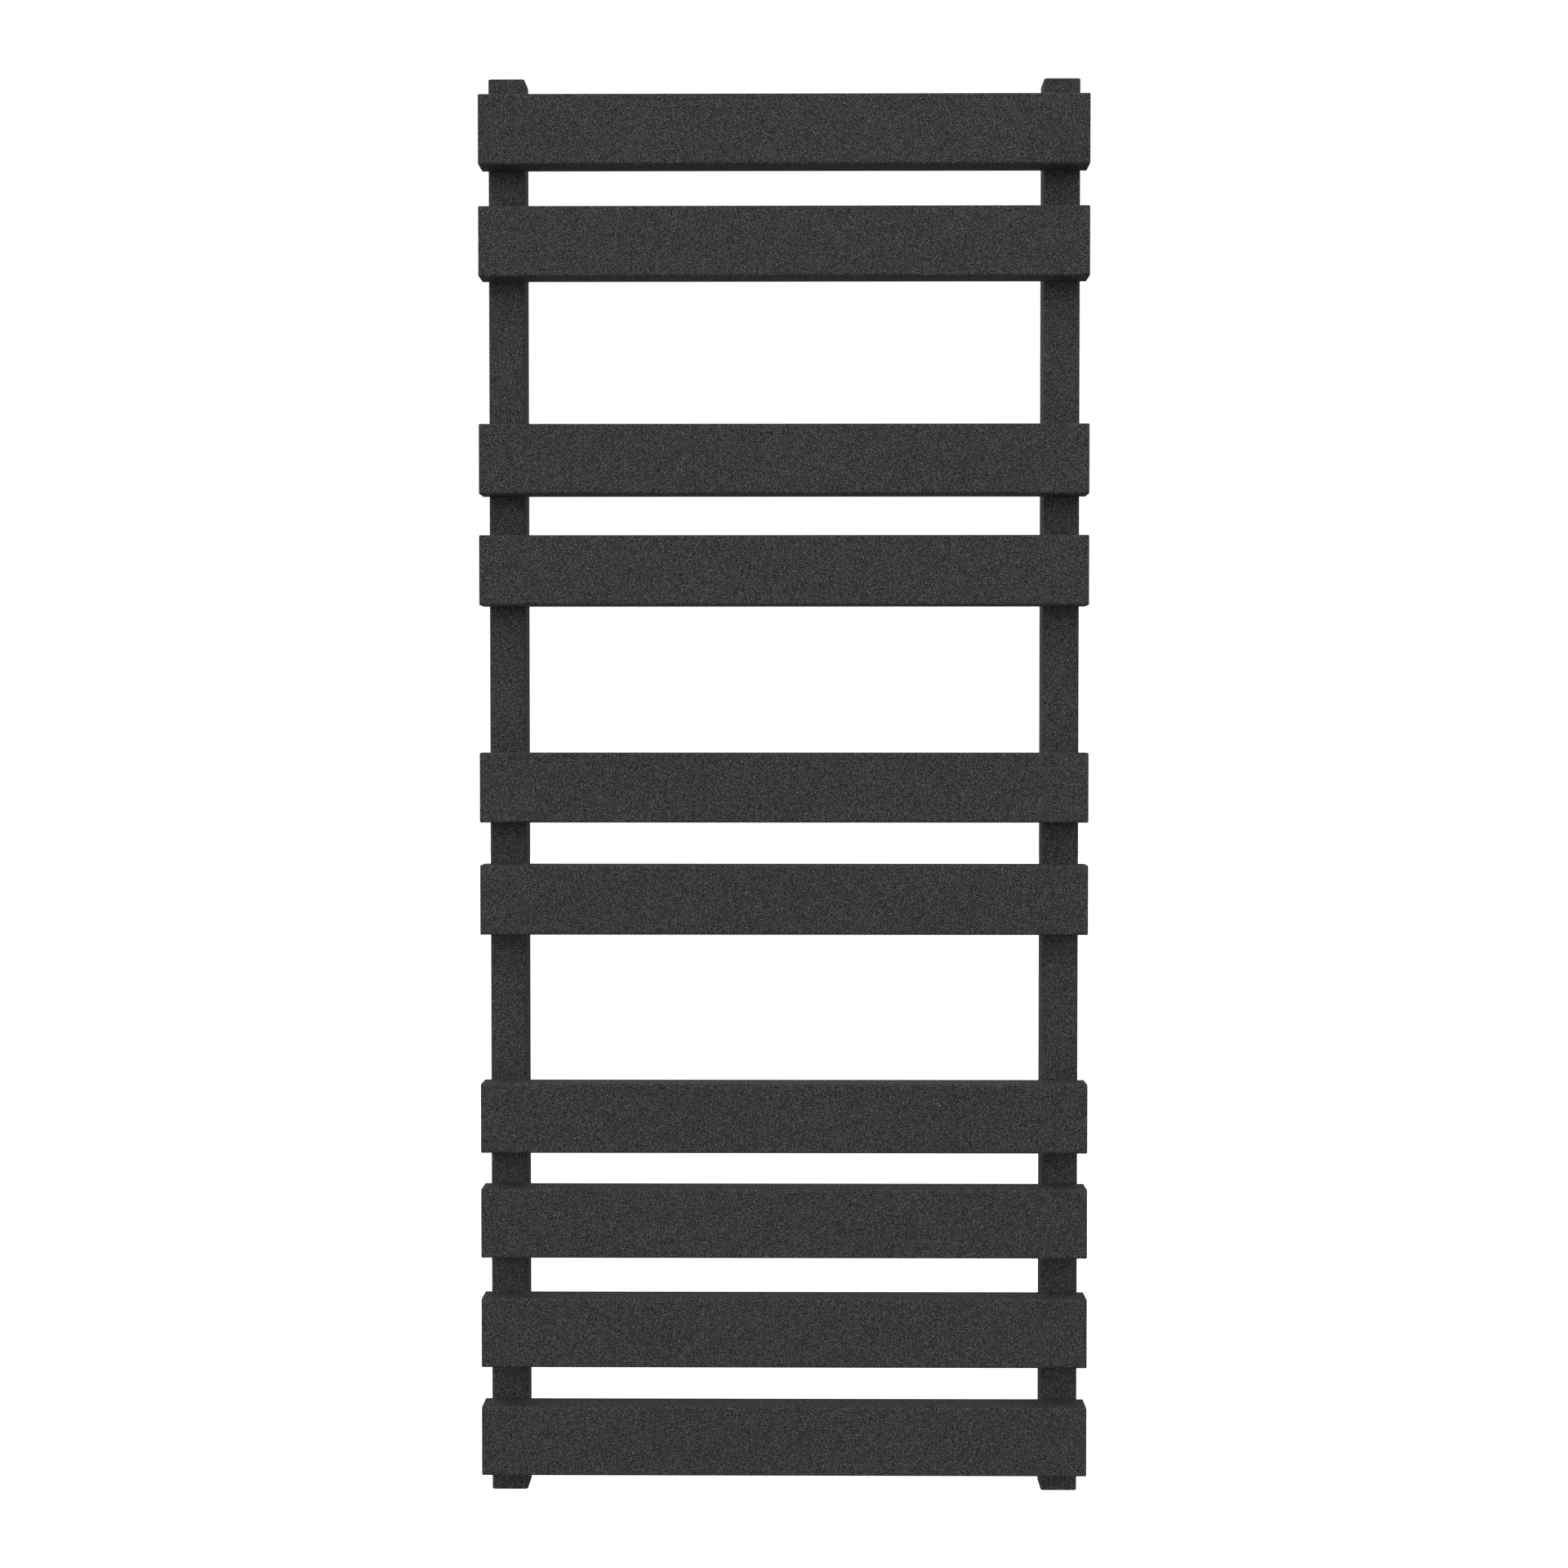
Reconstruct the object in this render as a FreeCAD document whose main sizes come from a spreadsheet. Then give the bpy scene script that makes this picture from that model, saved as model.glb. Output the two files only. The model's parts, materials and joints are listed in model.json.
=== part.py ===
import FreeCAD, Part
import math
import os

import Sketcher
from FreeCAD import Rotation, Vector

# A wall-hung towel warmer rack: ten flat bars welded across the fronts of two square uprights,
# which also carry the hot water. Four telescopic brackets hold it off the wall, the feet of the
# uprights take the valves, and the backs of the uprights carry an air vent and a blanking plug.
#
# Millimetres. X runs to the right as the rack is faced, Z runs up, and the front faces -Y. The
# wall is the plane Y = 0, and the origin is the centre of the four wall screws on that plane.

SIZES = {
    # Bars: flat rectangular tube, bar 1 at the top
    "bar_length": 500,
    "bar_height": 57.5,
    "bar_depth": 26.5,
    "bar_wall": 1.5,
    "bar_corner": 2,
    "bar_inner_corner": 0.8,
    "end_cap_thickness": 1.5,
    "end_cap_round": 0.8,
    "gap_below_bar_1": 33.5,
    "gap_below_bar_2": 120,
    "gap_below_bar_3": 33.5,
    "gap_below_bar_4": 121,
    "gap_below_bar_5": 35,
    "gap_below_bar_6": 123,
    "gap_below_bar_7": 29.5,
    "gap_below_bar_8": 33.5,
    "gap_below_bar_9": 32.5,
    # Uprights: square tube, closed by a cap at each end, and wide enough for a threaded socket
    "bar_overhang": 5,
    "upright_wall": 2,
    "upright_corner": 2.5,
    "upright_inner_corner": 0.8,
    "upright_cap_thickness": 3,
    "upright_cap_round": 0.8,
    "crown_rise": 19,
    "foot_drop": 20,
    # Ferrules: short tubes that let the water through from each upright to each bar
    "ferrule_diameter": 18,
    "ferrule_wall": 1.5,
    "ferrule_lip": 1,
    # Threaded sockets: thread_bore is the bore of a half-inch pipe thread
    "thread_bore": 18.6,
    "thread_socket_clearance": 0.5,
    "valve_socket_length": 18,
    "vent_socket_length": 12,
    "vent_drop": 35.5,
    "seal_section": 1.8,
    "seal_clearance": 0.05,
    "seal_seat_wall": 1.3,
    # Air vent and blanking plug
    "plug_spigot_length": 9,
    "plug_head_cover": 0.8,
    "plug_head_thickness": 5,
    "plug_key_flats": 8,
    "plug_key_depth": 3.5,
    "vent_neck_diameter": 12,
    "vent_collar_lip": 1,
    "vent_collar_thickness": 1,
    "spout_ring_wall": 3.4,
    "spout_ring_margin": 0.1,
    "spout_ring_clearance": 0.1,
    "spout_end_clearance": 0.2,
    "spout_nozzle_diameter": 4,
    "spout_nozzle_reach": 14,
    "spout_nozzle_bore": 1.6,
    "bleed_diameter": 5,
    "bleed_seat_depth": 4,
    "bleed_hole_diameter": 2,
    "bleed_tip_clearance": 0.1,
    "bleed_head_gap": 0.4,
    "bleed_head_flats": 5,
    "bleed_head_length": 4,
    # Wall brackets: a spindle on the rack slides in a socket on the wall
    "lower_fixing_height": 120,
    "upper_fixing_drop": 125.5,
    "boss_wall": 4,
    "boss_floor": 3,
    "stud_diameter": 10,
    "stud_length": 10,
    "stud_end_gap": 1,
    "spindle_diameter": 16,
    "spindle_chamfer": 1,
    "spindle_key_flats": 6,
    "spindle_key_depth": 5,
    "running_clearance": 0.05,
    "wall_adjustment": 8,
    "stop_clearance": 1,
    "socket_wall": 3.95,
    "socket_flange_rim": 6,
    "socket_flange_thickness": 3,
    "socket_chamfer": 1,
    "socket_mouth_chamfer": 0.5,
    "socket_floor": 6,
    "screw_head_room": 5,
    "fixing_hole_diameter": 6.5,
    "grub_diameter": 5,
    "grub_length": 5,
    "grub_margin": 1,
    "grub_tip_gap": 0.15,
    "grub_key_flats": 2.5,
    "grub_key_depth": 2,
    "grub_chamfer": 0.4,
    "socket_lip": 3,
}

BAR_COUNT = 10
HANDS = {"left": -1, "right": 1}

doc = FreeCAD.newDocument("TowelWarmerRack")
sheet = doc.addObject("Spreadsheet::Sheet", "Sizes")
for row, (alias, value) in enumerate(SIZES.items(), start=1):
    sheet.set(f"A{row}", alias)
    sheet.set(f"B{row}", str(value))
    sheet.setAlias(f"B{row}", alias)
doc.recompute()

subparts = []


# ---- Places and sizes that follow from the sheet, as expressions over its cells ----

# The seal lies in a step at the mouth of the vent socket, round the plug's spigot, and the plug's
# head covers it. All the threaded sockets are as wide as that step and its wall.
SEAL_SEAT = "(Sizes.thread_bore + 2 * Sizes.seal_section + 4 * Sizes.seal_clearance)"
THREAD_SOCKET = f"({SEAL_SEAT} + 2 * Sizes.seal_seat_wall)"
PLUG_HEAD_FLATS = f"({SEAL_SEAT} + 2 * Sizes.plug_head_cover)"

# The uprights are square, and their inside takes a threaded socket and its clearance.
UPRIGHT_SIDE = (
    f"({THREAD_SOCKET} + 2 * Sizes.thread_socket_clearance + 2 * Sizes.upright_wall)"
)

# The spout's ring clears the vent plug's neck and is thick enough for its nozzle. The neck is as
# long as the ring and the gaps at its two ends, and the collar beyond it keeps the ring on.
SPOUT_BORE = "(Sizes.vent_neck_diameter + 2 * Sizes.spout_ring_clearance)"
SPOUT_RING = f"({SPOUT_BORE} + 2 * Sizes.spout_ring_wall)"
SPOUT_THICKNESS = "(Sizes.spout_nozzle_diameter + 2 * Sizes.spout_ring_margin)"
SPOUT_START = "(Sizes.plug_head_thickness + Sizes.spout_end_clearance)"
COLLAR_START = f"({SPOUT_START} + {SPOUT_THICKNESS} + Sizes.spout_end_clearance)"
VENT_END = f"({COLLAR_START} + Sizes.vent_collar_thickness)"
BLEED_RADIUS = "(Sizes.bleed_diameter / 2)"
BLEED_BORE_RADIUS = "(Sizes.bleed_diameter / 2 + Sizes.running_clearance)"
BLEED_HOLE_RADIUS = "(Sizes.bleed_hole_diameter / 2)"

# The wall socket is bored for the spindle, and is as long as the spindle's travel needs with the
# grub screw still bearing on it.
BOSS = "(Sizes.stud_diameter + 2 * Sizes.boss_wall)"
SOCKET_BORE = "(Sizes.spindle_diameter + 2 * Sizes.running_clearance)"
SOCKET = f"({SOCKET_BORE} + 2 * Sizes.socket_wall)"
SOCKET_FLANGE = f"({SOCKET} + 2 * Sizes.socket_flange_rim)"
GRUB_DEPTH = (
    "(Sizes.socket_floor + Sizes.screw_head_room + 2 * Sizes.wall_adjustment"
    " + Sizes.grub_margin + Sizes.grub_diameter / 2)"
)
SOCKET_LENGTH = f"({GRUB_DEPTH} + Sizes.grub_diameter / 2 + Sizes.socket_lip)"
WALL_GAP = f"({SOCKET_LENGTH} + Sizes.wall_adjustment + Sizes.stop_clearance)"
SPINDLE_LENGTH = (
    f"({WALL_GAP} - Sizes.socket_floor - Sizes.screw_head_room - Sizes.wall_adjustment)"
)

# Depths from the wall
UPRIGHT_BACK = f"-{WALL_GAP}"
UPRIGHT_MIDDLE = f"-({WALL_GAP} + {UPRIGHT_SIDE} / 2)"
UPRIGHT_FRONT = f"-({WALL_GAP} + {UPRIGHT_SIDE})"
BAR_MIDDLE = f"-({WALL_GAP} + {UPRIGHT_SIDE} + Sizes.bar_depth / 2)"


def bar_height(number):
    """Height of a bar's middle above the foot of the uprights; bar 1 is the top one."""
    gaps = "".join(f" + Sizes.gap_below_bar_{upper}" for upper in range(number, BAR_COUNT))
    return f"(Sizes.foot_drop + {BAR_COUNT - number + 0.5} * Sizes.bar_height{gaps})"


# Heights above the foot, and the height in the frame of the foot itself
UPRIGHT_HEIGHT = f"({bar_height(1)} + Sizes.bar_height / 2 + Sizes.crown_rise)"
VENT_HEIGHT = f"({UPRIGHT_HEIGHT} - Sizes.vent_drop)"
FIXING_HEIGHTS = {
    "lower": "Sizes.lower_fixing_height",
    "upper": f"({UPRIGHT_HEIGHT} - Sizes.upper_fixing_drop)",
}
FOOT = f"-({FIXING_HEIGHTS['lower']} + {FIXING_HEIGHTS['upper']}) / 2"


def hand_place(side):
    """X of an upright's middle; side is -1 on the left and 1 on the right."""
    return f"({side} * (Sizes.bar_length / 2 - Sizes.bar_overhang - {UPRIGHT_SIDE} / 2))"


# ---- Helpers ----

def measure(expression):
    """The value of an expression over the sheet's cells."""
    return float(sheet.evalExpression(expression))


def place(item, x, y, z, rotation=Rotation()):
    """Put a sub-part where three expressions say."""
    item.Placement = FreeCAD.Placement(Vector(), rotation)
    for axis, expression in zip("xyz", (x, y, z)):
        item.setExpression(f"Placement.Base.{axis}", expression)


def new_body(label, x, y, z):
    """Start a sub-part whose own origin lies at three expressions in the rack's frame."""
    body = doc.addObject("PartDesign::Body", label)
    body.Label = label
    body.AllowCompound = True
    place(body, x, y, z)
    subparts.append(body)
    return body


def own_plane(body, role):
    """One of the three planes through the body's own origin, as a link to it."""
    planes = {feature.Role: feature for feature in body.Origin.OriginFeatures}
    return planes[role], [""]


def new_sketch(body, plane, raised="0"):
    """Start a sketch on one of the body's own planes, raised along that plane's normal."""
    sketch = body.newObject("Sketcher::SketchObject", "Sketch")
    sketch.AttachmentSupport = own_plane(body, plane)
    sketch.MapMode = "FlatFace"
    sketch.setExpression("AttachmentOffset.Base.z", raised)
    return sketch


def dimension(sketch, kind, *geometry, size):
    """Add a dimension to a sketch and tie it to an expression."""
    index = sketch.addConstraint(Sketcher.Constraint(kind, *geometry, measure(size)))
    sketch.setExpression(f"Constraints[{index}]", size)


def pin_point(sketch, geometry, point, x, y):
    """Hold one point of a sketch at two expressions from the sketch's origin."""
    dimension(sketch, "DistanceX", -1, 1, geometry, point, size=x)
    dimension(sketch, "DistanceY", -1, 1, geometry, point, size=y)


def add_circle(sketch, diameter, x="0", y="0"):
    centre = Vector(measure(x), measure(y), 0)
    shape = Part.Circle(centre, Vector(0, 0, 1), measure(diameter) / 2)
    circle = sketch.addGeometry(shape, False)
    pin_point(sketch, circle, 3, x, y)
    dimension(sketch, "Diameter", circle, size=diameter)


def add_outline(sketch, corners):
    """Draw a closed outline of straight edges through corners given as pairs of expressions."""
    points = [Vector(measure(x), measure(y), 0) for x, y in corners]
    edges = [
        sketch.addGeometry(Part.LineSegment(start, end), False)
        for start, end in zip(points, points[1:] + points[:1])
    ]
    for edge, following in zip(edges, edges[1:] + edges[:1]):
        sketch.addConstraint(Sketcher.Constraint("Coincident", edge, 2, following, 1))
    for edge, (x, y) in zip(edges, corners):
        pin_point(sketch, edge, 1, x, y)


def add_polygon(sketch, sides, flats):
    """Draw a regular polygon of an even number of sides, of a given size across its flats."""
    radius = f"({flats} / 2 / cos({180 / sides}))"
    turns = [(number + 0.5) * 360 / sides for number in range(sides)]
    add_outline(sketch, [(f"{radius} * cos({turn})", f"{radius} * sin({turn})") for turn in turns])


def add_rounded_rectangle(sketch, width, height, corner):
    """Draw a rectangle with round corners, centred on the sketch's origin."""
    x, y, radius = measure(width) / 2, measure(height) / 2, measure(corner)
    near_x, near_y = x - radius, y - radius
    ends = [
        (Vector(-near_x, -y), Vector(near_x, -y)),
        (Vector(x, -near_y), Vector(x, near_y)),
        (Vector(near_x, y), Vector(-near_x, y)),
        (Vector(-x, near_y), Vector(-x, -near_y)),
    ]
    centres = [
        Vector(near_x, -near_y),
        Vector(near_x, near_y),
        Vector(-near_x, near_y),
        Vector(-near_x, -near_y),
    ]
    edges = [sketch.addGeometry(Part.LineSegment(start, end), False) for start, end in ends]
    arcs = []
    for quarter, centre in enumerate(centres):
        start = (quarter - 1) * math.pi / 2
        circle = Part.Circle(centre, Vector(0, 0, 1), radius)
        arc = Part.ArcOfCircle(circle, start, start + math.pi / 2)
        arcs.append(sketch.addGeometry(arc, False))
    for quarter, (edge, arc) in enumerate(zip(edges, arcs)):
        following = edges[(quarter + 1) % 4]
        direction = ("Horizontal", "Vertical")[quarter % 2]
        sketch.addConstraint(Sketcher.Constraint(direction, edge))
        sketch.addConstraint(Sketcher.Constraint("Tangent", edge, 2, arc, 1))
        sketch.addConstraint(Sketcher.Constraint("Tangent", arc, 2, following, 1))
    for arc in arcs[1:]:
        sketch.addConstraint(Sketcher.Constraint("Equal", arcs[0], arc))
    sketch.addConstraint(Sketcher.Constraint("Symmetric", arcs[0], 3, arcs[2], 3, -1, 1))
    dimension(sketch, "Radius", arcs[0], size=corner)
    dimension(sketch, "DistanceX", edges[3], 1, edges[1], 1, size=width)
    dimension(sketch, "DistanceY", edges[0], 1, edges[2], 1, size=height)


def extrude(body, kind, sketch, length, against=False, centred=False):
    """Pad or pocket a sketch. A pad follows its plane's normal and a pocket goes against it;
    against=True turns either one round."""
    feature = body.newObject(f"PartDesign::{kind}", kind)
    feature.Profile = sketch
    feature.SideType = "Symmetric" if centred else "One side"
    feature.Reversed = against
    feature.setExpression("Length", length)
    return feature


def dress_rim(body, kind, feature, outward, size):
    """Round (Fillet) or bevel (Chamfer) the outer rim of a feature's outermost face."""
    doc.recompute()
    edges = feature.Shape.Edges
    face = max(feature.Shape.Faces, key=lambda face: face.CenterOfMass.dot(outward))
    rim = [
        f"Edge{number}"
        for number, edge in enumerate(edges, start=1)
        if any(edge.isSame(side) for side in face.OuterWire.Edges)
    ]
    dress = body.newObject(f"PartDesign::{kind}", kind)
    dress.Base = (feature, rim)
    dress.setExpression({"Fillet": "Radius", "Chamfer": "Size"}[kind], size)
    return dress


def turn(body, kind, corners):
    """Revolve an outline of (radius, place along Y) about the body's own Y axis. A Groove is the
    cut that a Revolution adds."""
    sketch = new_sketch(body, "XY_Plane")
    add_outline(sketch, corners)
    feature = body.newObject(f"PartDesign::{kind}", kind)
    feature.Profile = sketch
    feature.ReferenceAxis = (sketch, ["V_Axis"])
    feature.Angle = 360


# ---- Bars ----

def make_bar(number):
    label = f"bar_{number:02d}"
    z = f"{FOOT} + {bar_height(number)}"

    tube = new_body(label, "0", BAR_MIDDLE, z)
    section = new_sketch(tube, "YZ_Plane")
    add_rounded_rectangle(section, "Sizes.bar_depth", "Sizes.bar_height", "Sizes.bar_corner")
    add_rounded_rectangle(
        section,
        "Sizes.bar_depth - 2 * Sizes.bar_wall",
        "Sizes.bar_height - 2 * Sizes.bar_wall",
        "Sizes.bar_inner_corner",
    )
    extrude(tube, "Pad", section, "Sizes.bar_length - 2 * Sizes.end_cap_thickness", centred=True)
    ports = new_sketch(tube, "XZ_Plane")
    for side in HANDS.values():
        add_circle(ports, "Sizes.ferrule_diameter", hand_place(side))
    extrude(tube, "Pocket", ports, "Sizes.bar_depth")

    caps = new_body(f"{label}_end_caps", "0", BAR_MIDDLE, z)
    outline = new_sketch(caps, "YZ_Plane", "Sizes.bar_length / 2 - Sizes.end_cap_thickness")
    add_rounded_rectangle(outline, "Sizes.bar_depth", "Sizes.bar_height", "Sizes.bar_corner")
    plate = extrude(caps, "Pad", outline, "Sizes.end_cap_thickness")
    dress_rim(caps, "Fillet", plate, Vector(1, 0, 0), "Sizes.end_cap_round")
    mirror = caps.newObject("PartDesign::Mirrored", "Mirrored")
    mirror.TransformMode = "Whole shape"
    mirror.MirrorPlane = own_plane(caps, "YZ_Plane")
    caps.Tip = mirror


# ---- Uprights ----

def upright_outline(sketch):
    add_rounded_rectangle(sketch, UPRIGHT_SIDE, UPRIGHT_SIDE, "Sizes.upright_corner")


def make_upright(hand, side):
    x = hand_place(side)
    tube = new_body(f"{hand}_upright", x, UPRIGHT_MIDDLE, FOOT)
    section = new_sketch(tube, "XY_Plane", "Sizes.upright_cap_thickness")
    upright_outline(section)
    inside = f"{UPRIGHT_SIDE} - 2 * Sizes.upright_wall"
    add_rounded_rectangle(section, inside, inside, "Sizes.upright_inner_corner")
    extrude(tube, "Pad", section, f"{UPRIGHT_HEIGHT} - 2 * Sizes.upright_cap_thickness")
    front_holes = new_sketch(tube, "XZ_Plane")
    for number in range(1, BAR_COUNT + 1):
        add_circle(front_holes, "Sizes.ferrule_diameter", y=bar_height(number))
    extrude(tube, "Pocket", front_holes, UPRIGHT_SIDE, against=True)
    back_holes = new_sketch(tube, "XZ_Plane")
    for height in FIXING_HEIGHTS.values():
        add_circle(back_holes, BOSS, y=height)
    add_circle(back_holes, THREAD_SOCKET, y=VENT_HEIGHT)
    extrude(tube, "Pocket", back_holes, UPRIGHT_SIDE)

    top_place = f"{FOOT} + {UPRIGHT_HEIGHT} - Sizes.upright_cap_thickness"
    top = new_body(f"{hand}_top_cap", x, UPRIGHT_MIDDLE, top_place)
    outline = new_sketch(top, "XY_Plane")
    upright_outline(outline)
    plate = extrude(top, "Pad", outline, "Sizes.upright_cap_thickness")
    dress_rim(top, "Fillet", plate, Vector(0, 0, 1), "Sizes.upright_cap_round")

    foot = new_body(f"{hand}_foot_cap", x, UPRIGHT_MIDDLE, FOOT)
    outline = new_sketch(foot, "XY_Plane")
    upright_outline(outline)
    add_circle(outline, THREAD_SOCKET)
    plate = extrude(foot, "Pad", outline, "Sizes.upright_cap_thickness")
    dress_rim(foot, "Fillet", plate, Vector(0, 0, -1), "Sizes.upright_cap_round")

    socket = new_body(f"{hand}_valve_socket", x, UPRIGHT_MIDDLE, FOOT)
    ring = new_sketch(socket, "XY_Plane")
    add_circle(ring, THREAD_SOCKET)
    add_circle(ring, "Sizes.thread_bore")
    extrude(socket, "Pad", ring, "Sizes.valve_socket_length")


def make_ferrules(hand, side):
    """One ferrule for each bar, through the upright's front wall and the bar's back wall."""
    ferrules = new_body(f"{hand}_ferrules", hand_place(side), UPRIGHT_FRONT, FOOT)
    rings = new_sketch(ferrules, "XZ_Plane", "-(Sizes.upright_wall + Sizes.ferrule_lip)")
    bore = "Sizes.ferrule_diameter - 2 * Sizes.ferrule_wall"
    for number in range(1, BAR_COUNT + 1):
        add_circle(rings, "Sizes.ferrule_diameter", y=bar_height(number))
        add_circle(rings, bore, y=bar_height(number))
    extrude(
        ferrules, "Pad", rings, "Sizes.upright_wall + Sizes.bar_wall + 2 * Sizes.ferrule_lip"
    )


# ---- Air vent and blanking plug, on the backs of the uprights ----
# Each piece here has its own origin on the back face of its upright, and its Y runs to the wall.

def new_rear_body(label, side):
    return new_body(label, hand_place(side), UPRIGHT_BACK, f"{FOOT} + {VENT_HEIGHT}")


def make_rear_socket(label, side):
    """A threaded socket let in flush, with a stepped mouth for its seal."""
    outer = f"{THREAD_SOCKET} / 2"
    bore = "Sizes.thread_bore / 2"
    turn(new_rear_body(label, side), "Revolution", [
        (bore, "-Sizes.vent_socket_length"),
        (outer, "-Sizes.vent_socket_length"),
        (outer, "0"),
        (f"{SEAL_SEAT} / 2", "0"),
        (f"{SEAL_SEAT} / 2", "-Sizes.seal_section"),
        (bore, "-Sizes.seal_section"),
    ])


def make_seal(label, side):
    """An O-ring that fills the depth of the socket's step."""
    seal = doc.addObject("Part::Torus", label)
    seal.Label = label
    seal.setExpression("Radius1", f"(Sizes.thread_bore + {SEAL_SEAT}) / 4")
    seal.setExpression("Radius2", "Sizes.seal_section / 2")
    seal_place = f"{UPRIGHT_BACK} - Sizes.seal_section / 2"
    upright_axis = Rotation(Vector(1, 0, 0), 90)
    place(seal, hand_place(side), seal_place, f"{FOOT} + {VENT_HEIGHT}", upright_axis)
    subparts.append(seal)


def add_plug_head(body):
    """The hexagon that a spanner turns, seated on the upright, its outer corners bevelled."""
    hexagon = new_sketch(body, "XZ_Plane")
    add_polygon(hexagon, 6, PLUG_HEAD_FLATS)
    extrude(body, "Pad", hexagon, "Sizes.plug_head_thickness", against=True)
    bevel_corners(body, PLUG_HEAD_FLATS, "Sizes.plug_head_thickness")


def bevel_corners(body, flats, end):
    """Turn a polygon head's corners down to its flats at its end, at 30 degrees to the end."""
    beyond = f"(0.25 * {flats})"
    turn(body, "Groove", [
        (f"{flats} / 2", end),
        (f"{flats} / 2 + {beyond}", end),
        (f"{flats} / 2 + {beyond}", f"{end} - {beyond} * tan(30)"),
    ])


def make_vent_plug(side):
    plug = new_rear_body("vent_plug", side)
    spigot = "Sizes.thread_bore / 2"
    neck = "Sizes.vent_neck_diameter / 2"
    collar = "(Sizes.vent_neck_diameter / 2 + Sizes.vent_collar_lip)"
    turn(plug, "Revolution", [
        ("0", "-Sizes.plug_spigot_length"),
        (spigot, "-Sizes.plug_spigot_length"),
        (spigot, "0"),
        (neck, "0"),
        (neck, COLLAR_START),
        (collar, COLLAR_START),
        (collar, VENT_END),
        ("0", VENT_END),
    ])
    add_plug_head(plug)
    # The seat narrows at 45 degrees from the bleed screw's bore to the hole behind it.
    seat_end = f"-(Sizes.bleed_seat_depth + {BLEED_BORE_RADIUS} - {BLEED_HOLE_RADIUS})"
    turn(plug, "Groove", [
        ("0", VENT_END),
        (BLEED_BORE_RADIUS, VENT_END),
        (BLEED_BORE_RADIUS, "-Sizes.bleed_seat_depth"),
        (BLEED_HOLE_RADIUS, seat_end),
        (BLEED_HOLE_RADIUS, "-Sizes.plug_spigot_length"),
        ("0", "-Sizes.plug_spigot_length"),
    ])


def make_bleed_screw(side):
    screw = new_rear_body("bleed_screw", side)
    tip_start = "(Sizes.bleed_tip_clearance - Sizes.bleed_seat_depth)"
    tip_end = f"({tip_start} - ({BLEED_RADIUS} - {BLEED_HOLE_RADIUS}))"
    head_start = f"({VENT_END} + Sizes.bleed_head_gap)"
    turn(screw, "Revolution", [
        ("0", tip_end),
        (BLEED_HOLE_RADIUS, tip_end),
        (BLEED_RADIUS, tip_start),
        (BLEED_RADIUS, head_start),
        ("0", head_start),
    ])
    head = new_sketch(screw, "XZ_Plane", f"-{head_start}")
    add_polygon(head, 4, "Sizes.bleed_head_flats")
    extrude(screw, "Pad", head, "Sizes.bleed_head_length", against=True)
    bevel_corners(screw, "Sizes.bleed_head_flats", f"({head_start} + Sizes.bleed_head_length)")


def make_vent_spout(side):
    """A ring that turns on the vent plug's neck, with a nozzle that starts out pointing down."""
    spout = new_rear_body("vent_spout", side)
    ring = new_sketch(spout, "XZ_Plane", f"-{SPOUT_START}")
    add_circle(ring, SPOUT_RING)
    add_circle(ring, SPOUT_BORE)
    extrude(spout, "Pad", ring, SPOUT_THICKNESS, against=True)
    middle = f"{SPOUT_START} + {SPOUT_THICKNESS} / 2"
    nozzle = new_sketch(spout, "XY_Plane", "-Sizes.spout_nozzle_reach")
    add_circle(nozzle, "Sizes.spout_nozzle_diameter", y=middle)
    # The nozzle ends inside the ring's wall, halfway between its bore and its rim.
    root = f"({SPOUT_RING} + {SPOUT_BORE}) / 4"
    extrude(spout, "Pad", nozzle, f"Sizes.spout_nozzle_reach - {root}")
    drain = new_sketch(spout, "XY_Plane", "-Sizes.spout_nozzle_reach")
    add_circle(drain, "Sizes.spout_nozzle_bore", y=middle)
    extrude(spout, "Pocket", drain, "Sizes.spout_nozzle_reach", against=True)


def make_blanking_plug(side):
    plug = new_rear_body("blanking_plug", side)
    spigot = "Sizes.thread_bore / 2"
    turn(plug, "Revolution", [
        ("0", "-Sizes.plug_spigot_length"),
        (spigot, "-Sizes.plug_spigot_length"),
        (spigot, "0"),
        ("0", "0"),
    ])
    add_plug_head(plug)
    key = new_sketch(plug, "XZ_Plane", "-Sizes.plug_head_thickness")
    add_polygon(key, 6, "Sizes.plug_key_flats")
    extrude(plug, "Pocket", key, "Sizes.plug_key_depth", against=True)


# ---- Wall brackets ----

def make_boss(corner, x, z):
    """A blind threaded bush let in flush with the back of the upright."""
    boss = new_body(f"{corner}_boss", x, UPRIGHT_BACK, z)
    outer = f"{BOSS} / 2"
    bore = "Sizes.stud_diameter / 2"
    bore_end = "-(Sizes.stud_length + Sizes.stud_end_gap)"
    boss_end = f"{bore_end} - Sizes.boss_floor"
    turn(boss, "Revolution", [
        (bore, "0"),
        (outer, "0"),
        (outer, boss_end),
        ("0", boss_end),
        ("0", bore_end),
        (bore, bore_end),
    ])


def make_spindle(corner, x, z):
    """The stud screws into the boss, and the round end slides in the wall socket."""
    spindle = new_body(f"{corner}_spindle", x, UPRIGHT_BACK, z)
    stud = "Sizes.stud_diameter / 2"
    shank = "Sizes.spindle_diameter / 2"
    turn(spindle, "Revolution", [
        ("0", "-Sizes.stud_length"),
        (stud, "-Sizes.stud_length"),
        (stud, "0"),
        (shank, "0"),
        (shank, f"{SPINDLE_LENGTH} - Sizes.spindle_chamfer"),
        (f"{shank} - Sizes.spindle_chamfer", SPINDLE_LENGTH),
        ("0", SPINDLE_LENGTH),
    ])
    key = new_sketch(spindle, "XZ_Plane", f"-{SPINDLE_LENGTH}")
    add_polygon(key, 6, "Sizes.spindle_key_flats")
    extrude(spindle, "Pocket", key, "Sizes.spindle_key_depth", against=True)


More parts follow.
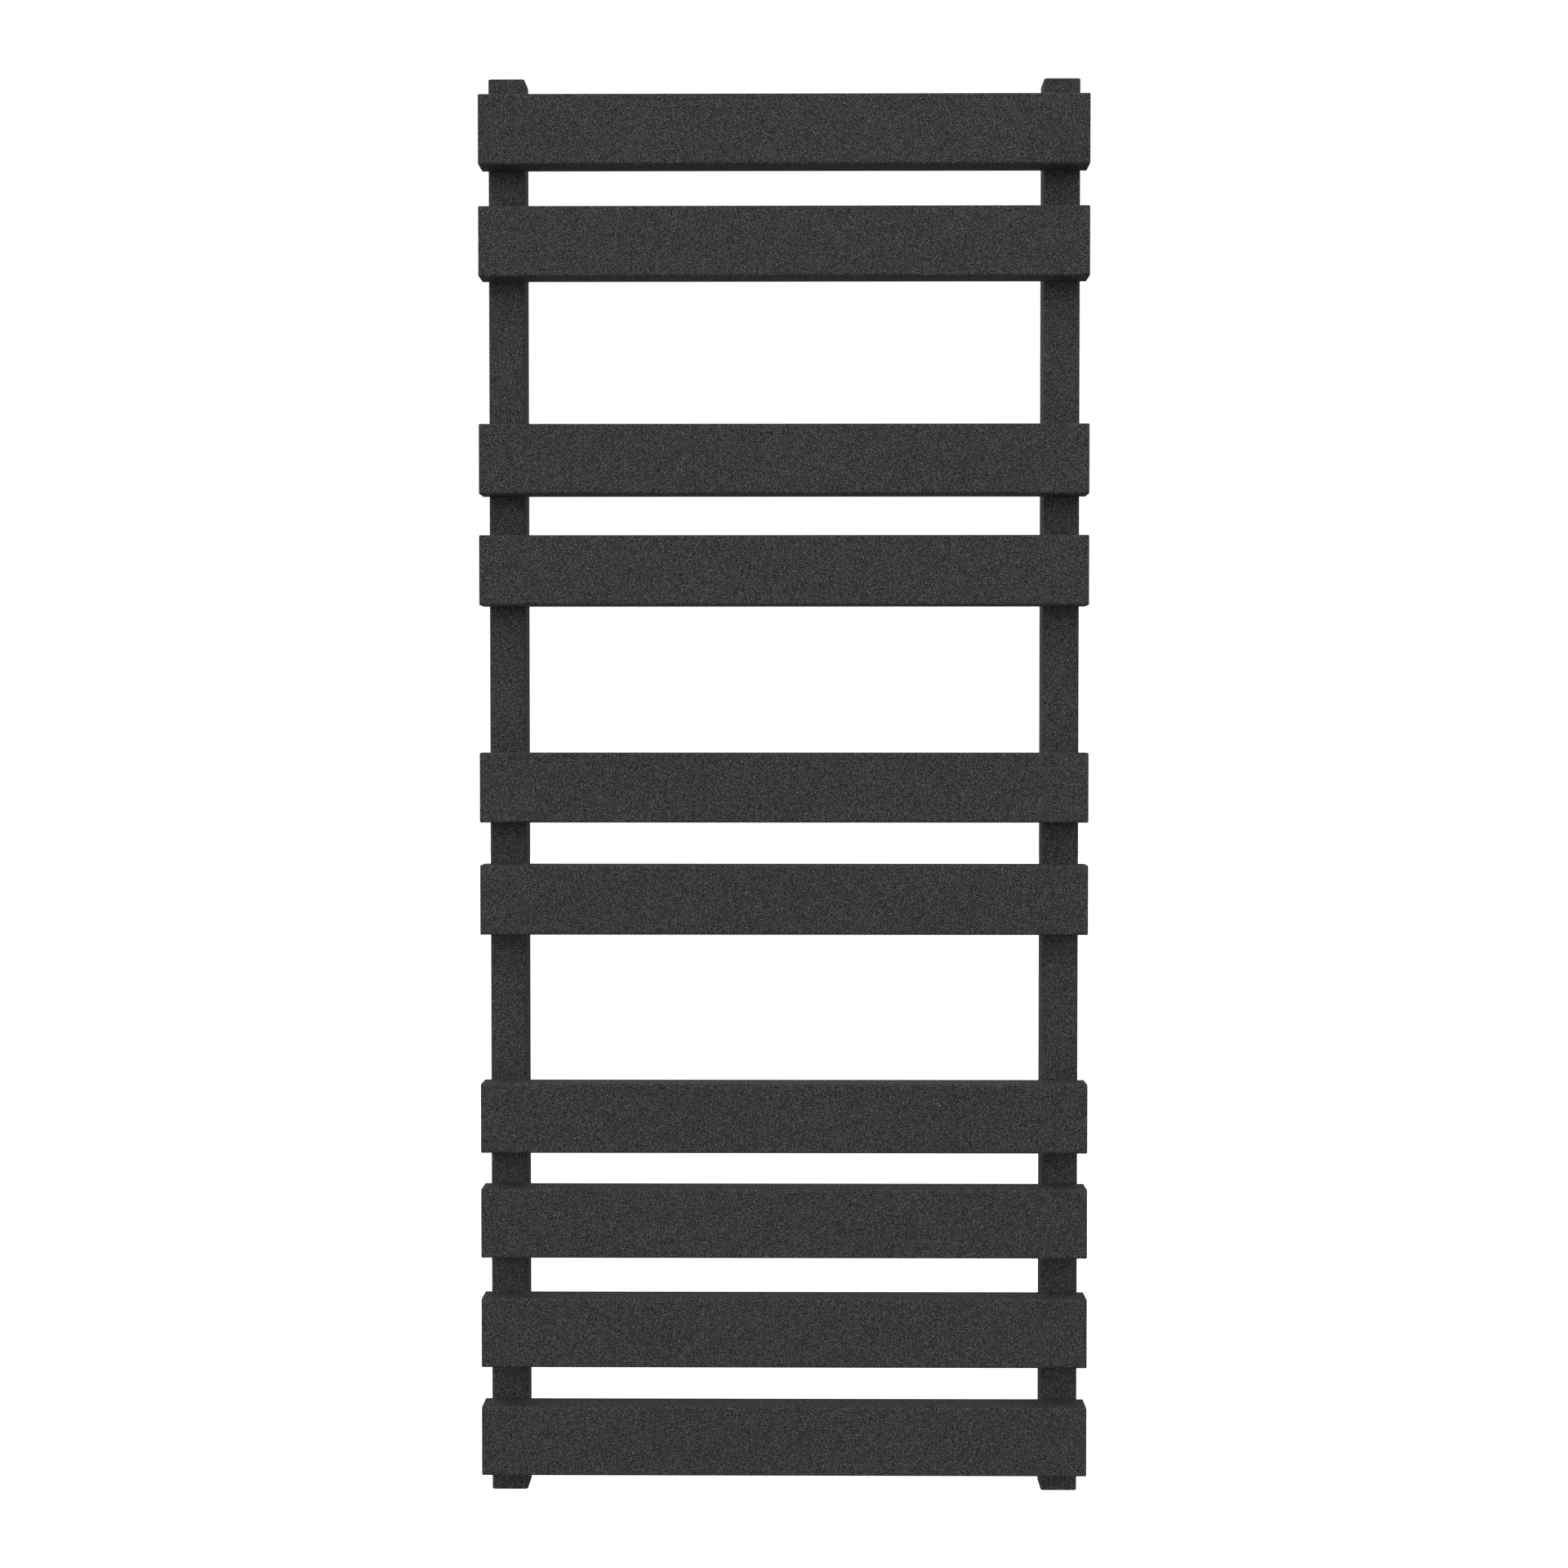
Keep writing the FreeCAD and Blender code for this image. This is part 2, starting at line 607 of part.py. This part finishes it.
def make_wall_socket(corner, x, z):
    """A flanged cup, screwed to the wall through its floor."""
    socket = new_body(f"{corner}_wall_socket", x, "0", z)
    hole = "Sizes.fixing_hole_diameter / 2"
    flange = f"{SOCKET_FLANGE} / 2"
    outer = f"{SOCKET} / 2"
    bore = f"{SOCKET_BORE} / 2"
    turn(socket, "Revolution", [
        (hole, "0"),
        (flange, "0"),
        (flange, "Sizes.socket_chamfer - Sizes.socket_flange_thickness"),
        (f"{flange} - Sizes.socket_chamfer", "-Sizes.socket_flange_thickness"),
        (outer, "-Sizes.socket_flange_thickness"),
        (outer, f"Sizes.socket_chamfer - {SOCKET_LENGTH}"),
        (f"{outer} - Sizes.socket_chamfer", f"-{SOCKET_LENGTH}"),
        (f"{bore} + Sizes.socket_mouth_chamfer", f"-{SOCKET_LENGTH}"),
        (bore, f"Sizes.socket_mouth_chamfer - {SOCKET_LENGTH}"),
        (bore, "-Sizes.socket_floor"),
        (hole, "-Sizes.socket_floor"),
    ])
    grub_hole = new_sketch(socket, "XY_Plane")
    add_circle(
        grub_hole, "Sizes.grub_diameter + 2 * Sizes.running_clearance", y=f"-{GRUB_DEPTH}"
    )
    extrude(socket, "Pocket", grub_hole, SOCKET)


def make_grub_screw(corner, x, z):
    """Screwed up through the underside of the socket to bear on the spindle."""
    screw = new_body(f"{corner}_grub_screw", x, f"-{GRUB_DEPTH}", z)
    tip = "(Sizes.spindle_diameter / 2 + Sizes.grub_tip_gap)"
    shank = new_sketch(screw, "XY_Plane", f"-{tip}")
    add_circle(shank, "Sizes.grub_diameter")
    cylinder = extrude(screw, "Pad", shank, "Sizes.grub_length", against=True)
    point = dress_rim(screw, "Chamfer", cylinder, Vector(0, 0, 1), "Sizes.grub_chamfer")
    dress_rim(screw, "Chamfer", point, Vector(0, 0, -1), "Sizes.grub_chamfer")
    key = new_sketch(screw, "XY_Plane", f"-({tip} + Sizes.grub_length)")
    add_polygon(key, 6, "Sizes.grub_key_flats")
    extrude(screw, "Pocket", key, "Sizes.grub_key_depth", against=True)


# ---- The whole rack ----

for number in range(1, BAR_COUNT + 1):
    make_bar(number)

for hand, side in HANDS.items():
    make_upright(hand, side)
    make_ferrules(hand, side)
    for level, height in FIXING_HEIGHTS.items():
        bracket = (f"{level}_{hand}", hand_place(side), f"{FOOT} + {height}")
        make_boss(*bracket)
        make_spindle(*bracket)
        make_wall_socket(*bracket)
        make_grub_screw(*bracket)

make_rear_socket("vent_socket", HANDS["right"])
make_seal("vent_seal", HANDS["right"])
make_vent_plug(HANDS["right"])
make_bleed_screw(HANDS["right"])
make_vent_spout(HANDS["right"])
make_rear_socket("blanking_socket", HANDS["left"])
make_seal("blanking_seal", HANDS["left"])
make_blanking_plug(HANDS["left"])

doc.recompute()


# ---- Checks, then one file for each sub-part ----

for item in doc.Objects:
    if {"Invalid", "Error"} & set(item.State):
        raise RuntimeError(f"{item.Label} did not build: {item.State}")
    if item.TypeId in ("PartDesign::Pocket", "PartDesign::Groove"):
        if item.Shape.Volume >= item.BaseFeature.Shape.Volume:
            raise RuntimeError(f"{item.Label} cuts nothing")

for subpart in subparts:
    if subpart.Shape.isNull() or not subpart.Shape.isValid():
        raise RuntimeError(f"{subpart.Label} has no valid shape")

os.makedirs("parts", exist_ok=True)
for subpart in subparts:
    subpart.Shape.exportStep(f"parts/{subpart.Label}.step")
    print(f"{subpart.Label:28s} {len(subpart.Shape.Solids):3d} solids {subpart.Shape.Volume:12.1f} mm3")
print(len(subparts), "sub-parts")
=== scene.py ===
import json
import math
import random

import bmesh
import bpy
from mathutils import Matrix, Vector


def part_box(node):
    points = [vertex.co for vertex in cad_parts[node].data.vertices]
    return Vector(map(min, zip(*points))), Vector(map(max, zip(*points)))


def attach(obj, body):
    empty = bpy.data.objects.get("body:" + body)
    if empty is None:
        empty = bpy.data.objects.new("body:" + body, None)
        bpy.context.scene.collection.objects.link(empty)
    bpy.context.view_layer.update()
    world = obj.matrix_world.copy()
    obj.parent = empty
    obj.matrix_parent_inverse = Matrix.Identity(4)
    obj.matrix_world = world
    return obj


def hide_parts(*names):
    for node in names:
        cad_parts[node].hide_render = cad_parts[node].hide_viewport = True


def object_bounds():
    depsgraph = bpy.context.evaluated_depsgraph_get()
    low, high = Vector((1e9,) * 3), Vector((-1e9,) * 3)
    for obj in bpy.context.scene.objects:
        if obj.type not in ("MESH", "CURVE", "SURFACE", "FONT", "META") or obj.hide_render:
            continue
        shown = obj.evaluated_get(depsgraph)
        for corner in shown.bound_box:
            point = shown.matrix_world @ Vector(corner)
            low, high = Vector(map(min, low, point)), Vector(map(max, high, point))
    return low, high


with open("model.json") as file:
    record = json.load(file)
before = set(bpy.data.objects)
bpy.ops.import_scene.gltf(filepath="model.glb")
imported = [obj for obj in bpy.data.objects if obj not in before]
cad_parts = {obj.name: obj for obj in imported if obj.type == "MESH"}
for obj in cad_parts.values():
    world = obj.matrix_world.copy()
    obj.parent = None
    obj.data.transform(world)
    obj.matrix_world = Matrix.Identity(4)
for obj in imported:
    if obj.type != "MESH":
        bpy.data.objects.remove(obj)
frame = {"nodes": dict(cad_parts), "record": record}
cad_low, cad_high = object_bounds()

MM = 0.001
HANDS = ("left", "right")
BARS = sorted(name for name in frame["nodes"] if name.startswith("bar_") and name[4:].isdigit())

# Weld beads in the corners between the uprights' sides and the bars' backs
BEAD_LEG = 3.2 * MM
BEAD_RIPPLE = 1.7 * MM
BEAD_FACETS = 6
BEAD_ROWS_PER_RIPPLE = 4
BEAD_END_GAP = 2.5 * MM
BEAD_OVERLAP = 0.2 * MM
BEAD_HOLLOW = 0.20
BEAD_RIPPLE_HEIGHT = 0.05
BEAD_RIPPLE_BOW = 1.8
BEAD_SWELL = 0.02
BEAD_END_SIZE = 0.55
BEAD_TAPER = 1.5 * BEAD_LEG

# Half-inch pipe thread in the feet: 14 turns to the inch
THREAD_PITCH = 25.4 / 14 * MM
THREAD_DEPTH = 1.16 * MM
THREAD_COUNTERSINK = 0.4 * MM
THREAD_COLUMNS = 72
THREAD_ROWS_PER_TURN = 12

# Faces that meet at more than this angle stay sharp
SHARP_ANGLE = math.radians(40)

# Texture scales in lumps per metre, bump depths in metres
GRAIN_SCALE = 1550
GRAIN_POWER = 5.0
GRAIN_DEPTH = 0.3 * MM
GRAIN_DARK = (0.006, 0.006, 0.0062)
GRAIN_PALE = (0.53, 0.53, 0.532)
PEEL_SCALE = 140
PEEL_DEPTH = 0.08 * MM
RING_DEPTH = 0.03 * MM
SCUFF_SCALE = 900
SCUFF_DEPTH = 0.02 * MM
MOULD_GRAIN_SCALE = 1500

# Camera: to the right of the rack's middle, out from its front and above its middle
CAMERA_SENSOR = 36
CAMERA_LENS = 52.5
CAMERA_RIGHT = 13.4 * MM
CAMERA_OUT = 1.877
CAMERA_UP = 49.8 * MM
TARGET_RIGHT = 0.1 * MM
TARGET_UP = 5.1 * MM

# Light and floor
DOME_EVEN = 0.80
DOME_TOWARD = (-0.22, -0.34, -0.09)
FLOOR_REACH = 14
FLOOR_DROP = 0.25


# ---- Materials ----

def new_material(name):
    """A material with its Principled shader, ready for a node tree."""
    material = bpy.data.materials.new(name)
    material.use_nodes = True
    tree = material.node_tree
    shader = next(node for node in tree.nodes if node.type == "BSDF_PRINCIPLED")
    return material, tree, shader


def add_node(tree, kind, **settings):
    """Add a node, set its sockets by name and its own settings by attribute."""
    node = tree.nodes.new(kind)
    for name, value in settings.items():
        if name in node.inputs:
            node.inputs[name].default_value = value
        else:
            setattr(node, name, value)
    return node


def noise(tree, scale, detail=2.0, roughness=0.5):
    """Noise over the object's own metres; scale is in lumps per metre. Its lattice is turned
    askew, so that a flat face never lies along one of the lattice's planes."""
    place = add_node(tree, "ShaderNodeTexCoord")
    askew = add_node(tree, "ShaderNodeMapping", Rotation=(0.5, 0.3, 0.7))
    texture = add_node(tree, "ShaderNodeTexNoise", Scale=scale, Detail=detail, Roughness=roughness)
    tree.links.new(place.outputs["Object"], askew.inputs["Vector"])
    tree.links.new(askew.outputs["Vector"], texture.inputs["Vector"])
    return texture.outputs["Fac"]


def ramp(tree, source, low, high, at=(0.3, 0.7)):
    """Map a grey source between two stops to values or colours."""
    node = add_node(tree, "ShaderNodeValToRGB")
    for stop, place, value in zip(node.color_ramp.elements, at, (low, high)):
        stop.position = place
        stop.color = (*value, 1) if isinstance(value, tuple) else (value, value, value, 1)
    tree.links.new(source, node.inputs["Fac"])
    return node.outputs["Color"]


def multiply(tree, one, two):
    """Multiply two colours. A Mix node's colour sockets are its inputs 6 and 7 and its output 2."""
    node = add_node(tree, "ShaderNodeMix", data_type="RGBA", blend_type="MULTIPLY")
    node.inputs[0].default_value = 1.0
    tree.links.new(one, node.inputs[6])
    tree.links.new(two, node.inputs[7])
    return node.outputs[2]


def bump(tree, source, distance, strength=1.0, under=None):
    """Raise the surface by a grey source; distance is in metres. under is a bump it lies on."""
    node = add_node(tree, "ShaderNodeBump", Distance=distance, Strength=strength)
    tree.links.new(source, node.inputs["Height"])
    if under:
        tree.links.new(under, node.inputs["Normal"])
    return node.outputs["Normal"]


def powder_coat():
    """Anthracite powder coat with a fine texture on a faint orange peel. Raising the noise to a
    power makes the pale grains few and bright among many dark ones."""
    material, tree, shader = new_material("powder_coat")
    grain = noise(tree, GRAIN_SCALE, detail=1.0, roughness=0.7)
    sparse = add_node(tree, "ShaderNodeMath", operation="POWER")
    sparse.inputs[1].default_value = GRAIN_POWER
    tree.links.new(grain, sparse.inputs[0])
    cloud = noise(tree, 9, detail=3.0)
    grains = ramp(tree, sparse.outputs[0], GRAIN_DARK, GRAIN_PALE, at=(0.004, 0.35))
    clouds = ramp(tree, cloud, 0.95, 1.0)
    tree.links.new(multiply(tree, grains, clouds), shader.inputs["Base Color"])
    tree.links.new(ramp(tree, grain, 0.78, 0.6), shader.inputs["Roughness"])
    peel = bump(tree, noise(tree, PEEL_SCALE, detail=1.0), PEEL_DEPTH, 0.4)
    tree.links.new(bump(tree, grain, GRAIN_DEPTH, 0.8, under=peel), shader.inputs["Normal"])
    shader.inputs["Specular IOR Level"].default_value = 0.1
    return material


def turned_metal(name, dark, light, rough, smooth, ring_scale):
    """Metal with the fine rings of a lathe tool across its axis and a cloudy tarnish."""
    material, tree, shader = new_material(name)
    place = add_node(tree, "ShaderNodeTexCoord")
    rings = add_node(
        tree, "ShaderNodeTexWave", Scale=ring_scale, Distortion=0.6, Detail=2.0,
        wave_type="BANDS", bands_direction="Y",
    )
    tree.links.new(place.outputs["Object"], rings.inputs["Vector"])
    cloud = noise(tree, 160, detail=4.0)
    tree.links.new(ramp(tree, cloud, dark, light), shader.inputs["Base Color"])
    tree.links.new(ramp(tree, cloud, rough, smooth), shader.inputs["Roughness"])
    scuffs = bump(tree, noise(tree, SCUFF_SCALE, detail=3.0), SCUFF_DEPTH, 0.4)
    turned = bump(tree, rings.outputs["Fac"], RING_DEPTH, 0.5, under=scuffs)
    tree.links.new(turned, shader.inputs["Normal"])
    shader.inputs["Metallic"].default_value = 1.0
    return material


def moulded(name, dark, light, rough, smooth, grain_depth):
    """Rubber or plastic with the faint grain of its mould."""
    material, tree, shader = new_material(name)
    cloud = noise(tree, 220, detail=3.0)
    tree.links.new(ramp(tree, cloud, dark, light), shader.inputs["Base Color"])
    tree.links.new(ramp(tree, cloud, rough, smooth), shader.inputs["Roughness"])
    grain = bump(tree, noise(tree, MOULD_GRAIN_SCALE), grain_depth, 0.6)
    tree.links.new(grain, shader.inputs["Normal"])
    return material


MATERIALS = {
    "powder_coat": powder_coat(),
    "plain_steel": turned_metal(
        "plain_steel", (0.20, 0.19, 0.18), (0.38, 0.38, 0.38), 0.55, 0.38, 700
    ),
    "zinc_steel": turned_metal(
        "zinc_steel", (0.48, 0.50, 0.53), (0.68, 0.70, 0.72), 0.36, 0.24, 900
    ),
    "black_steel": turned_metal(
        "black_steel", (0.020, 0.020, 0.022), (0.050, 0.050, 0.055), 0.5, 0.34, 900
    ),
    "plated_brass": turned_metal(
        "plated_brass", (0.56, 0.53, 0.48), (0.72, 0.69, 0.63), 0.30, 0.18, 800
    ),
    "seal_rubber": moulded(
        "seal_rubber", (0.010, 0.010, 0.010), (0.022, 0.022, 0.022), 0.75, 0.6, 0.04 * MM
    ),
    "white_plastic": moulded(
        "white_plastic", (0.66, 0.66, 0.63), (0.80, 0.80, 0.78), 0.5, 0.36, 0.03 * MM
    ),
}

SLOTS = {row["node"]: row["material_slot"] for row in frame["record"]["subparts"]}

for name, slot in SLOTS.items():
    materials = frame["nodes"][name].data.materials
    materials.clear()
    materials.append(MATERIALS[slot])


# ---- New pieces ----

def add_piece(name, sketch, slot):
    """Show a bmesh as a piece of the rack that takes a slot's finish and moves with the rack."""
    bmesh.ops.recalc_face_normals(sketch, faces=sketch.faces)
    mesh = bpy.data.meshes.new(name)
    sketch.to_mesh(mesh)
    sketch.free()
    mesh.shade_smooth()
    mesh.set_sharp_from_angle(angle=SHARP_ANGLE)
    mesh.materials.append(MATERIALS[slot])
    piece = bpy.data.objects.new(name, mesh)
    bpy.context.scene.collection.objects.link(piece)
    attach(piece, "rack")
    return piece


def add_bead(sketch, corner, outward, length, dice):
    """A rippled fillet of weld that runs up from a corner, between a face along outward (+1 or -1
    along X) and a face towards the wall."""
    rows = round(length / BEAD_RIPPLE * BEAD_ROWS_PER_RIPPLE)
    phase = dice.uniform(0, math.tau)
    rings = []
    for row in range(rows + 1):
        along = length * row / rows
        rise = Vector((0, 0, along))
        swell = dice.uniform(1 - BEAD_SWELL, 1 + BEAD_SWELL)
        taper = min(1, BEAD_END_SIZE + min(along, length - along) / BEAD_TAPER)
        ring = [corner + Vector((-outward, -1, 0)) * BEAD_OVERLAP + rise]
        for facet in range(BEAD_FACETS + 1):
            turn = math.pi / 2 * facet / BEAD_FACETS
            bow = math.sin(2 * turn)
            hollow = 1 - BEAD_HOLLOW * bow ** 2
            wave = math.tau * along / BEAD_RIPPLE + phase + BEAD_RIPPLE_BOW * bow
            ripple = 1 + BEAD_RIPPLE_HEIGHT * math.cos(wave)
            reach = BEAD_LEG * hollow * ripple * swell * taper
            across = Vector((outward * math.cos(turn), math.sin(turn), 0))
            ring.append(corner + across * reach + rise)
        rings.append([sketch.verts.new(point) for point in ring])
    for lower, upper in zip(rings, rings[1:]):
        for first in range(len(lower)):
            second = (first + 1) % len(lower)
            sketch.faces.new((lower[first], lower[second], upper[second], upper[first]))
    sketch.faces.new(rings[0])
    sketch.faces.new(rings[-1])


def upright_welds(hand):
    """Both corners of one upright at each bar. They are coated with the rack."""
    dice = random.Random(f"{hand} welds")
    sketch = bmesh.new()
    low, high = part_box(f"{hand}_upright")
    for bar in BARS:
        bar_low, bar_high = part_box(bar)
        bottom = bar_low.z + BEAD_END_GAP
        length = bar_high.z - BEAD_END_GAP - bottom
        add_bead(sketch, Vector((low.x, low.y, bottom)), -1, length, dice)
        add_bead(sketch, Vector((high.x, low.y, bottom)), 1, length, dice)
    add_piece(f"{hand}_upright_welds", sketch, "powder_coat")


def threaded_socket(hand):
    """The socket in an upright's foot with its real thread, countersunk at the mouth."""
    node = f"{hand}_valve_socket"
    low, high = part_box(node)
    middle = (low + high) / 2
    outer = (high.x - low.x) / 2
    length = high.z - low.z
    crest = min((vertex.co - middle).xy.length for vertex in frame["nodes"][node].data.vertices)
    root = crest + THREAD_DEPTH
    rows = round(length / THREAD_PITCH * THREAD_ROWS_PER_TURN)
    sketch = bmesh.new()
    columns = []
    for column in range(THREAD_COLUMNS):
        part = column / THREAD_COLUMNS
        section = [(outer, length), (outer, 0)]
        for row in range(rows + 1):
            height = length * row / rows
            through = (height / THREAD_PITCH - part) % 1
            flank = root - THREAD_DEPTH * abs(2 * through - 1)
            mouth = root + THREAD_COUNTERSINK - height
            section.append((max(flank, mouth), height))
        turn = math.tau * part
        out = Vector((math.cos(turn), math.sin(turn), 0))
        foot = Vector((middle.x, middle.y, low.z))
        columns.append([
            sketch.verts.new(foot + out * radius + Vector((0, 0, height)))
            for radius, height in section
        ])
    for column, following in zip(columns, columns[1:] + columns[:1]):
        for here in range(len(column)):
            there = (here + 1) % len(column)
            sketch.faces.new((column[here], column[there], following[there], following[here]))
    piece = add_piece(f"{hand}_threaded_socket", sketch, SLOTS[node])
    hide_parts(node)


for hand in HANDS:
    upright_welds(hand)
    threaded_socket(hand)


# ---- Camera, light and floor ----

def camera():
    """A long lens straight in front of the rack, a little to the right of its middle."""
    front = cad_low.y
    middle = (cad_low + cad_high) / 2
    data = bpy.data.cameras.new("camera")
    data.sensor_width = CAMERA_SENSOR
    data.lens = CAMERA_LENS
    eye = bpy.data.objects.new("camera", data)
    bpy.context.scene.collection.objects.link(eye)
    eye.location = Vector((CAMERA_RIGHT, front - CAMERA_OUT, middle.z + CAMERA_UP))
    target = Vector((TARGET_RIGHT, front, middle.z + TARGET_UP))
    eye.rotation_mode = "QUATERNION"
    eye.rotation_quaternion = (target - eye.location).to_track_quat("-Z", "Y")
    bpy.context.scene.camera = eye


def studio_dome(even, toward):
    """Light from all round, stronger along toward. The camera itself sees a white backdrop."""
    world = bpy.data.worlds.new("studio")
    bpy.context.scene.world = world
    world.use_nodes = True
    tree = world.node_tree
    output = next(node for node in tree.nodes if node.type == "OUTPUT_WORLD")
    lit = next(node for node in tree.nodes if node.type == "BACKGROUND")
    direction = add_node(tree, "ShaderNodeTexCoord")
    along = add_node(tree, "ShaderNodeVectorMath", operation="DOT_PRODUCT")
    along.inputs[1].default_value = toward
    tree.links.new(direction.outputs["Generated"], along.inputs[0])
    strength = add_node(tree, "ShaderNodeMath", operation="ADD")
    strength.inputs[1].default_value = even
    tree.links.new(along.outputs["Value"], strength.inputs[0])
    tree.links.new(strength.outputs[0], lit.inputs["Strength"])
    lit.inputs["Color"].default_value = (1, 1, 1, 1)
    seen = add_node(tree, "ShaderNodeBackground", Color=(1, 1, 1, 1), Strength=1.0)
    path = add_node(tree, "ShaderNodeLightPath")
    both = add_node(tree, "ShaderNodeMixShader")
    tree.links.new(path.outputs["Is Camera Ray"], both.inputs[0])
    tree.links.new(lit.outputs[0], both.inputs[1])
    tree.links.new(seen.outputs[0], both.inputs[2])
    tree.links.new(both.outputs[0], output.inputs["Surface"])
    bpy.context.scene.view_settings.view_transform = "Standard"


def floor():
    """A plain pale floor well below the rack, white where the camera sees it."""
    mesh = bpy.data.meshes.new("floor")
    level = cad_low.z - FLOOR_DROP
    corners = [(-1, -1), (1, -1), (1, 1), (-1, 1)]
    points = [(x * FLOOR_REACH, y * FLOOR_REACH, level) for x, y in corners]
    mesh.from_pydata(points, [], [(0, 1, 2, 3)])
    ground = bpy.data.objects.new("floor", mesh)
    bpy.context.scene.collection.objects.link(ground)
    material, tree, shader = new_material("floor")
    tree.links.new(ramp(tree, noise(tree, 3), 0.30, 0.34), shader.inputs["Base Color"])
    shader.inputs["Roughness"].default_value = 0.9
    shader.inputs["Emission Color"].default_value = (1, 1, 1, 1)
    path = add_node(tree, "ShaderNodeLightPath")
    tree.links.new(path.outputs["Is Camera Ray"], shader.inputs["Emission Strength"])
    mesh.materials.append(material)


camera()
studio_dome(DOME_EVEN, DOME_TOWARD)
floor()
